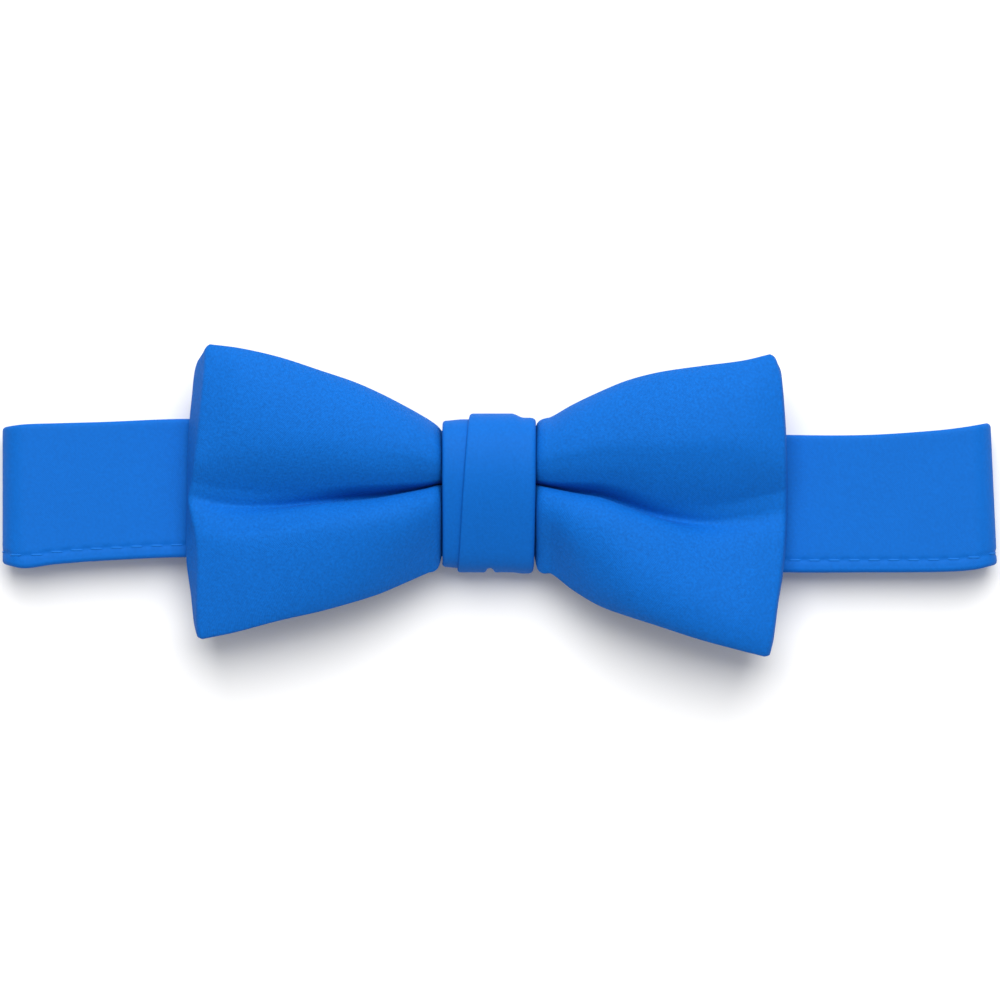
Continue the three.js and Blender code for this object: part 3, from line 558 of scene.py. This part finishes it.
def bow_surface():
    """The bow's middle surface: the right half from the knot out and back, then the left half reversed. The
    sections lie closest where the cloth rises beside the knot and where it turns round the outer fold."""
    across = across_shares(BOW_ACROSS, BOW_DEPTH, BOW_CLOTH / 2)
    front_at, turns, back_at = (
        np.concatenate([np.linspace(*run) for run in runs]) for runs in (FRONT_RUNS, FOLD_RUNS, BACK_RUNS)
    )
    right = wing_half(RIGHT_WING, across, front_at, turns, back_at)
    left = wing_half(LEFT_WING, across, front_at[1:], turns, back_at[:-1])
    return across, np.concatenate([right, left[::-1]])


def make_bow(material):
    """The bow: a strip half a thickness each side of its middle surface, with rounded edges."""
    across, middle = bow_surface()
    width = arc_length(middle, 1)
    edge = np.minimum(width, width[:, -1:] - width)
    half = rounded(edge, BOW_CLOTH / 2)
    half[:, [0, -1]] = 0
    points = thick_strip(middle, half, True)
    weave = strip_map(middle, True)
    piece = mesh_piece("bow_cloth_loop", points, weave, True, material, "bow_loop")
    return piece


def knot_ring(place):
    """Y and Z of the wrap's inner face and its outward normal: a closed cubic B-spline. place counts the
    control points."""
    count = len(KNOT_RING)

    def curve(at):
        """The spline's point at each place: the four control points about it, by the cubic weights."""
        at = np.mod(at, count)
        k = np.floor(at).astype(int)
        t = (at - k)[:, None]
        held = [KNOT_RING[(k + i) % count] for i in (-1, 0, 1, 2)]
        outer = held[0] * (1 - t) ** 3 + held[3] * t**3
        inner = held[1] * (3 * t**3 - 6 * t**2 + 4) + held[2] * (-3 * t**3 + 3 * t**2 + 3 * t + 1)
        return (outer + inner) / 6

    way = curve(place + 0.01) - curve(place - 0.01)
    way = way / np.linalg.norm(way, axis=1)[:, None]
    return curve(place), np.stack([way[:, 1], -way[:, 0]], axis=1)


def knot_places(count):
    """Places round the ring, spaced evenly along its outline."""
    steps = 200
    fine = np.linspace(0, len(KNOT_RING), len(KNOT_RING) * steps + 1)
    point, normal = knot_ring(fine)
    outline = point + normal * WRAP_CLOTH
    length = np.concatenate([[0], np.cumsum(np.linalg.norm(np.diff(outline, axis=0), axis=1))])
    return np.interp(np.linspace(0, length[-1], count + 1)[:-1], length, fine)


def half_turn(x, bottom, top, way):
    """A half circle round the edge of a layer, from its bottom face to its top face, with the edge at x."""
    radius = ((top - bottom) / 2)[:, None]
    angle = np.radians(np.linspace(-90, 90, 7))
    level = (top + bottom)[:, None] / 2
    return x[:, None] - way * radius * (1 - np.cos(angle)), level + radius * np.sin(angle)


def level_run(x0, x1, level, count):
    """A level stretch of the wrap's profile between two places, without its ends."""
    share = np.linspace(0, 1, count + 2)[1:-1]
    return x0[:, None] + (x1 - x0)[:, None] * share, np.repeat(level[:, None], count, axis=1)


def make_knot(material):
    """The wrap: a profile of two lapped layers carried round the ring. The upper layer ends on the left in a
    fold over a thin slit, and the pucker pushes the profile inwards by a rounded V at the bottom edge."""
    place = knot_places(260)
    left, fold, right, lift, sag, draw = (
        along(KNOT_FOLDS, KNOT_COLUMNS, name, place) for name in KNOT_COLUMNS[1:]
    )
    zero, over = np.zeros_like(place), np.full_like(place, WRAP_CLOTH)
    lower, high = over - SLIT, over + lift
    edge_x, edge_z = half_turn(right, zero, high, 1)
    parts = [
        half_turn(left, zero, lower, -1),
        level_run(left + WRAP_EDGES["left"], fold + TUCKED_UNDER, lower, 10),
        level_run(fold + TUCKED_UNDER, fold + WRAP_EDGES["fold"], over, 2),
        half_turn(fold, over, high, -1),
        level_run(fold + WRAP_EDGES["fold"], right - WRAP_EDGES["right"], high, 48),
        (edge_x[:, ::-1], edge_z[:, ::-1]),
        level_run(right - WRAP_EDGES["right"], left + WRAP_EDGES["left"], zero, 24),
    ]
    x = np.concatenate([part[0] for part in parts], axis=1)
    offset = np.concatenate([part[1] for part in parts], axis=1)
    raised = offset / high[:, None]
    offset = offset - raised * sag[:, None] * ease((x - SAG_START) / SAG_WIDTH)
    offset = offset - draw[:, None] * (1 - ease((x - left[:, None]) / DRAW_WIDTH))
    pressed = ease((place - PUCKER["first"]) / PUCKER["fade"])
    pressed = pressed * ease((PUCKER["last"] - place) / PUCKER["fade"])
    notch = 1 - ease(np.abs(x - PUCKER["x"]) / PUCKER["width"])
    depth = PUCKER["inner"] + (PUCKER["depth"] - PUCKER["inner"]) * raised
    offset = offset - pressed[:, None] * notch * depth
    point, normal = knot_ring(place)
    ring = point[:, None] + normal[:, None] * offset[:, :, None]
    points = np.concatenate([KNOT_X + x[:, :, None], ring], axis=2)
    length = arc_length(points, 0)
    length = np.concatenate([length, length[-1:] + 0.5])
    wide = np.concatenate([x, x[:, :1]], axis=1)
    wide = np.concatenate([wide, wide[:1]])
    weave = np.stack([np.concatenate([length, length[:, :1]], axis=1), wide], axis=2)
    piece = mesh_piece("knot_cloth_wrap", points, weave, True, material, "knot_wrap")
    return piece


def band_route(step):
    """X and Z of the band's middle line, at even steps, from the end tucked over the clasp's left bar to the
    one over its right bar: straight runs, half circles, and the upper layer's curve."""
    floor = BAND_CLOTH / 2
    fold_radius = (BAND_FOLD_TOP - floor) / 2
    fold_x = BAND_REACH - BAND_CLOTH / 2 - fold_radius
    bar_x = CLASP["length"] / 2 - CLASP["bar"] / 2

    def arc(x, z, radius, first, last):
        """Points of an arc about x and z, between two angles in degrees."""
        angle = np.radians(np.linspace(first, last, 60))
        return np.stack([x + radius * np.cos(angle), z + radius * np.sin(angle)], axis=1)

    def tuck(side, length):
        """An end of the band, from its tip to the top of the slide's bar, rising by a smooth step."""
        share = np.linspace(1, 0, 60)[:-1]
        x = CLASP["x"] + side * (bar_x + length * share)
        start = floor + 2 * LOOP_RADIUS
        return np.stack([x, start + (TUCK_REST - start) * ease(share)], axis=1)

    upper_x = np.linspace(-fold_x, fold_x, 500)[1:-1]
    upper = np.stack([upper_x, along(BAND_HEIGHTS, HEIGHT_COLUMNS, "height", upper_x)], axis=1)
    line = np.concatenate([
        tuck(-1, LEFT_TUCK),
        arc(CLASP["x"] - bar_x, floor + LOOP_RADIUS, LOOP_RADIUS, 90, -90),
        arc(-fold_x, floor + fold_radius, fold_radius, 270, 90),
        upper,
        arc(fold_x, floor + fold_radius, fold_radius, 90, -90),
        arc(CLASP["x"] + bar_x, floor + LOOP_RADIUS, LOOP_RADIUS, 270, 90),
        tuck(1, RIGHT_TUCK)[::-1],
    ])
    length = np.concatenate([[0], np.cumsum(np.linalg.norm(np.diff(line, axis=0), axis=1))])
    even = np.linspace(0, length[-1], int(length[-1] / step))
    return np.stack([np.interp(even, length, line[:, k]) for k in (0, 1)], axis=1), even


def band_frame(route):
    """For each point of the route, the unit direction along it and the unit normal to it, in X and Z."""
    way = np.gradient(route, axis=0)
    way = way / np.linalg.norm(way, axis=1)[:, None]
    return way, np.stack([-way[:, 1], way[:, 0]], axis=1)


def end_shift(x, y):
    """How far along X the band's right end is turned at a place: a slant that grows from the bow outwards."""
    share = ease((x - END_SLANT["start"]) / END_SLANT["run"])
    return END_SLANT["per_mm"] * (y - END_SLANT["lower_y"]) * share


def make_band(material):
    """The strip: straight across Y, with rounded edges and ends. The stitches pull in a groove, a bell curve
    across the band, which a cosine along it makes deepest between the threads."""
    route, length = band_route(0.7)
    _, normal = band_frame(route)
    groove_rows = (STITCH["inset"] + np.arange(-1.5, 1.6, 0.25)) / BAND_DEPTH
    across = np.union1d(across_shares(38, BAND_DEPTH, BAND_CLOTH / 2), groove_rows)
    top = along(BAND_EDGES, EDGE_COLUMNS, "top", route[:, 0])[:, None]
    bottom = along(BAND_EDGES, EDGE_COLUMNS, "bottom", route[:, 0])[:, None]
    y = bottom + (top - bottom) * across
    edge = np.minimum(y - bottom, top - y)
    from_end = np.minimum(length, length[-1] - length)[:, None]
    half = rounded(edge, BAND_CLOTH / 2) * rounded(from_end, BAND_CLOTH / 2) / (BAND_CLOTH / 2)
    near = np.exp(-(((y - bottom - STITCH["inset"]) / STITCH["dimple_width"]) ** 2))
    pull = 0.6 - 0.4 * np.cos(2 * np.pi * length / STITCH["pitch"])[:, None]
    thinnest = 0.02
    half = np.maximum(half - STITCH["dimple"] * near * pull, thinnest)
    half[:, [0, -1]] = 0
    middle = np.stack(np.broadcast_arrays(route[:, :1], y, route[:, 1:]), axis=2)
    shift = np.stack([normal[:, :1] * half, 0 * half, normal[:, 1:] * half], axis=2)
    points = np.concatenate([middle + shift, (middle - shift)[:, -2:0:-1]], axis=1)
    points[:, :, 0] += end_shift(points[:, :, 0], points[:, :, 1])
    weave = strip_map(middle, False)
    piece = mesh_piece("neck_band_strip", points, weave, False, material, "neck_band")
    return piece


def make_stitches(material):
    """A running stitch on both faces of the band: short threads, oval in section, that thin and dip into the
    cloth at their ends by high powers of the distance from their middles."""
    route, length = band_route(0.1)
    way, normal = band_frame(route)
    places = np.arange(STITCH["pitch"] * 2, length[-1] - STITCH["pitch"] * 2, STITCH["pitch"])
    index = np.searchsorted(length, places)
    bottom = along(BAND_EDGES, EDGE_COLUMNS, "bottom", route[index, 0])
    run = np.linspace(-1, 1, 9)
    round_it = np.radians(np.arange(0, 360, 45))
    radius = STITCH["radius"] * np.sqrt(np.clip(1 - run**6, 0.02, 1))
    meshes = []
    for face in (1, -1):
        lift = BAND_CLOTH / 2 - STITCH["sink"] - STITCH["end_sink"] * run**4
        side = radius[:, None] * np.cos(round_it)
        rise = lift[:, None] + STITCH["flatness"] * radius[:, None] * np.sin(round_it)
        forward = np.repeat((run * STITCH["length"] / 2)[:, None], len(round_it), axis=1)
        x = route[index, 0][:, None, None] + way[index, 0][:, None, None] * forward
        x = x + face * normal[index, 0][:, None, None] * rise
        z = route[index, 1][:, None, None] + way[index, 1][:, None, None] * forward
        z = z + face * normal[index, 1][:, None, None] * rise
        y = (bottom + STITCH["inset"])[:, None, None] + face * side + 0 * forward
        x = x + end_shift(x, y)
        meshes.append(np.stack(np.broadcast_arrays(x, y, z), axis=3))
    points = np.concatenate(meshes)
    count, rings, around = points.shape[:3]
    n, i, j = np.meshgrid(np.arange(count), np.arange(rings - 1), np.arange(around), indexing="ij")

    def corner(ring, place):
        """The index of a place on a ring of each thread."""
        return (n * rings + ring) * around + place % around

    quads = [corner(i, j), corner(i + 1, j), corner(i + 1, j + 1), corner(i, j + 1)]
    quads = np.stack(quads, axis=3).reshape(-1, 4)
    start = (np.arange(count) * rings * around)[:, None] + np.arange(around)
    caps = np.concatenate([start, start[:, ::-1] + (rings - 1) * around])
    mesh = bpy.data.meshes.new("band_stitches")
    mesh.from_pydata((points.reshape(-1, 3) * MM).tolist(), [], quads.tolist() + caps.tolist())
    mesh.materials.append(material)
    mesh.polygons.foreach_set("use_smooth", np.ones(len(mesh.polygons), bool))
    if signed_volume(mesh) < 0:
        mesh.flip_normals()
    mesh.update()
    piece = bpy.data.objects.new("band_stitches", mesh)
    bpy.context.collection.objects.link(piece)
    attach(piece, "root")
    return piece


def link(tree, source, target):
    """Join one node's output to another's input."""
    tree.links.new(source, target)


def math_node(tree, operation, first, second=None):
    """The result of a sum on one or two values, each of them a number or another node's output."""
    node = tree.nodes.new("ShaderNodeMath")
    node.operation = operation
    for socket, value in zip(node.inputs, (first, second)):
        if value is None:
            continue
        if isinstance(value, (int, float)):
            socket.default_value = value
        else:
            link(tree, value, socket)
    return node.outputs[0]


def cloth_material(name, colour, roughness, thread, grain, relief, fleck):
    """Woven cloth: crossed sine waves in the cloth's own map give the threads, and darken the colour a little
    in their valleys as painted shade; fine noise gives the pebbled grain, and wide noise lets the colour
    drift."""
    material = bpy.data.materials.new(name)
    material.use_nodes = True
    tree = material.node_tree
    shader = tree.nodes["Principled BSDF"]
    shader.inputs["Roughness"].default_value = roughness
    shader.inputs["Sheen Weight"].default_value = 0.03
    shader.inputs["Sheen Roughness"].default_value = 0.4
    shader.inputs["Sheen Tint"].default_value = (0.25, 0.55, 1.0, 1.0)
    shader.inputs["Specular IOR Level"].default_value = 0.12
    cloth_map = tree.nodes.new("ShaderNodeUVMap")
    cloth_map.uv_map = "cloth"
    split = tree.nodes.new("ShaderNodeSeparateXYZ")
    link(tree, cloth_map.outputs["UV"], split.inputs[0])
    turns = 2 * np.pi / (thread * MM)
    warp = math_node(tree, "SINE", math_node(tree, "MULTIPLY", split.outputs["X"], turns))
    weft = math_node(tree, "SINE", math_node(tree, "MULTIPLY", split.outputs["Y"], turns))
    weave = math_node(tree, "MULTIPLY", warp, weft)
    place = tree.nodes.new("ShaderNodeTexCoord")
    pebble = tree.nodes.new("ShaderNodeTexNoise")
    pebble.inputs["Scale"].default_value = 1 / (grain * MM)
    pebble.inputs["Detail"].default_value = 2
    link(tree, place.outputs["Object"], pebble.inputs["Vector"])
    drift = tree.nodes.new("ShaderNodeTexNoise")
    drift.inputs["Scale"].default_value = 55
    drift.inputs["Detail"].default_value = 3
    link(tree, place.outputs["Object"], drift.inputs["Vector"])
    height = math_node(tree, "ADD", math_node(tree, "MULTIPLY", weave, 0.3), pebble.outputs["Fac"])
    bump = tree.nodes.new("ShaderNodeBump")
    bump.inputs["Strength"].default_value = 1
    bump.inputs["Distance"].default_value = relief * MM
    link(tree, height, bump.inputs["Height"])
    link(tree, bump.outputs["Normal"], shader.inputs["Normal"])
    colour_drift = 0.12
    shade = math_node(tree, "MULTIPLY", drift.outputs["Fac"], colour_drift)
    shade = math_node(tree, "ADD", shade, 1 - colour_drift / 2)
    # The colour is a little darker where the weave is low: painted shade in the valleys between the threads.
    shade = math_node(tree, "ADD", shade, math_node(tree, "MULTIPLY", weave, 0.03))
    speck = math_node(tree, "MULTIPLY", math_node(tree, "SUBTRACT", pebble.outputs["Fac"], 0.5), fleck)
    shade = math_node(tree, "ADD", shade, speck)
    tint = tree.nodes.new("ShaderNodeVectorMath")
    tint.operation = "SCALE"
    tint.inputs[0].default_value = colour
    link(tree, shade, tint.inputs["Scale"])
    link(tree, tint.outputs[0], shader.inputs["Base Color"])
    return material


def metal_material():
    """Nickel plate with fine brushing along its bars and a little dulling in patches."""
    material = bpy.data.materials.new("clasp_nickel")
    material.use_nodes = True
    tree = material.node_tree
    shader = tree.nodes["Principled BSDF"]
    shader.inputs["Metallic"].default_value = 1
    shader.inputs["Base Color"].default_value = (0.62, 0.62, 0.6, 1)
    place = tree.nodes.new("ShaderNodeTexCoord")
    stretch = tree.nodes.new("ShaderNodeMapping")
    stretch.inputs["Scale"].default_value = (6000, 600, 6000)
    link(tree, place.outputs["Object"], stretch.inputs["Vector"])
    brush = tree.nodes.new("ShaderNodeTexNoise")
    brush.inputs["Scale"].default_value = 1
    link(tree, stretch.outputs[0], brush.inputs["Vector"])
    rough = math_node(tree, "ADD", math_node(tree, "MULTIPLY", brush.outputs["Fac"], 0.25), 0.18)
    link(tree, rough, shader.inputs["Roughness"])
    bump = tree.nodes.new("ShaderNodeBump")
    bump.inputs["Distance"].default_value = 0.01 * MM
    link(tree, brush.outputs["Fac"], bump.inputs["Height"])
    link(tree, bump.outputs["Normal"], shader.inputs["Normal"])
    return material


def make_clasp(material):
    """The slide: a softened oblong section carried round a rounded rectangle, and along a straight middle
    bar whose ends are sunk in the frame."""
    half_x = CLASP["length"] / 2 - CLASP["bar"] / 2
    half_y = CLASP["width"] / 2 - CLASP["rail"] / 2
    corner = CLASP["corner"] - CLASP["bar"] / 2
    level = BAND_CLOTH / 2 + LOOP_RADIUS
    arcs = []
    for k, (sx, sy) in enumerate([(1, 1), (-1, 1), (-1, -1), (1, -1)]):
        angle = np.radians(np.linspace(90 * k, 90 * k + 90, 9))
        x = sx * (half_x - corner) + corner * np.cos(angle)
        y = sy * (half_y - corner) + corner * np.sin(angle)
        arcs.append(np.stack([x, y, np.cos(angle), np.sin(angle)], axis=1))
    path = np.concatenate(arcs)
    turn = np.radians(np.arange(0, 360, 22.5))
    out = np.sign(np.cos(turn)) * np.abs(np.cos(turn)) ** 0.7 * CLASP["bar"] / 2
    up = np.sign(np.sin(turn)) * np.abs(np.sin(turn)) ** 0.7 * CLASP["thickness"] / 2
    x = path[:, :1] + path[:, 2:3] * out
    y = path[:, 1:2] + path[:, 3:4] * out
    frame_points = np.stack([CLASP["x"] + x, CLASP["y"] + y, level + 0 * x + up], axis=2)
    uv = np.zeros((len(path) + 1, len(turn) + 1, 2))
    mesh_piece("clasp_slide", frame_points, uv, True, material, "band_clasp")

    bar_y = np.linspace(-half_y, half_y, 12)[:, None]
    along_bar = np.broadcast_arrays(CLASP["x"] + out, CLASP["y"] + bar_y, level + up)
    bar_points = np.stack(along_bar, axis=2)
    uv = np.zeros((len(bar_y), len(turn) + 1, 2))
    mesh_piece("clasp_middle_bar", bar_points, uv, False, material, None)


def set_stage():
    """A plain pale floor, wide enough to fill every view, and a soft key light from the tie's top edge."""
    size = 3.0
    corners = np.array([[-1, -1, 0], [1, -1, 0], [1, 1, 0], [-1, 1, 0]]) * size
    mesh = bpy.data.meshes.new("floor")
    mesh.from_pydata(corners.tolist(), [], [(0, 1, 2, 3)])
    floor = bpy.data.objects.new("floor", mesh)
    bpy.context.collection.objects.link(floor)
    paper = bpy.data.materials.new("pale_paper")
    paper.use_nodes = True
    shader = paper.node_tree.nodes["Principled BSDF"]
    shader.inputs["Base Color"].default_value = (0.92, 0.92, 0.92, 1)
    shader.inputs["Roughness"].default_value = 0.9
    shader.inputs["Specular IOR Level"].default_value = 0.1
    mesh.materials.append(paper)

    world = bpy.data.worlds.new("studio")
    world.use_nodes = True
    world.node_tree.nodes["Background"].inputs["Color"].default_value = (1, 1, 1, 1)
    world.node_tree.nodes["Background"].inputs["Strength"].default_value = 0.44
    bpy.context.scene.world = world
    area_light("key", place=(0.06, 0.64, 1.0), size=1.1, power=20.0)


def area_light(name, place, size, power):
    """A square light at place, its -Z axis turned to the middle of the tie."""
    data = bpy.data.lights.new(name, "AREA")
    data.size = size
    data.energy = power
    light = bpy.data.objects.new(name, data)
    bpy.context.collection.objects.link(light)
    light.location = place
    light.rotation_euler = (-Vector(place)).to_track_quat("-Z", "Y").to_euler()


def set_camera():
    """Straight above the tie. The lens puts the photo's scale on the plane at half the bow's height."""
    scale_mm_per_pixel = 0.19
    image_pixels = 1000
    distance = 1.05
    plane = 0.009
    data = bpy.data.cameras.new("camera")
    data.sensor_width = 36
    data.lens = 36 * (distance - plane) / (scale_mm_per_pixel * MM * image_pixels)
    camera = bpy.data.objects.new("camera", data)
    camera.location = (0, 0, distance)
    bpy.context.collection.objects.link(camera)
    bpy.context.scene.camera = camera


set_camera()
bow_cloth = cloth_material(
    "bow_satin", ROYAL_BLUE, roughness=0.72, thread=0.42, grain=0.48, relief=0.06, fleck=0.6,
)
knot_cloth = cloth_material(
    "knot_satin", ROYAL_BLUE, roughness=0.66, thread=0.40, grain=0.50, relief=0.03, fleck=0.3,
)
band_cloth = cloth_material(
    "band_satin", ROYAL_BLUE, roughness=0.66, thread=0.40, grain=0.50, relief=0.03, fleck=0.3,
)
stitch_thread = cloth_material(
    "stitch_thread", THREAD_BLUE, roughness=0.6, thread=0.30, grain=0.30, relief=0.02, fleck=0.2,
)
make_bow(bow_cloth)
make_knot(knot_cloth)
make_band(band_cloth)
make_stitches(stitch_thread)
make_clasp(metal_material())
set_stage()
bpy.context.scene.view_settings.view_transform = "Standard"
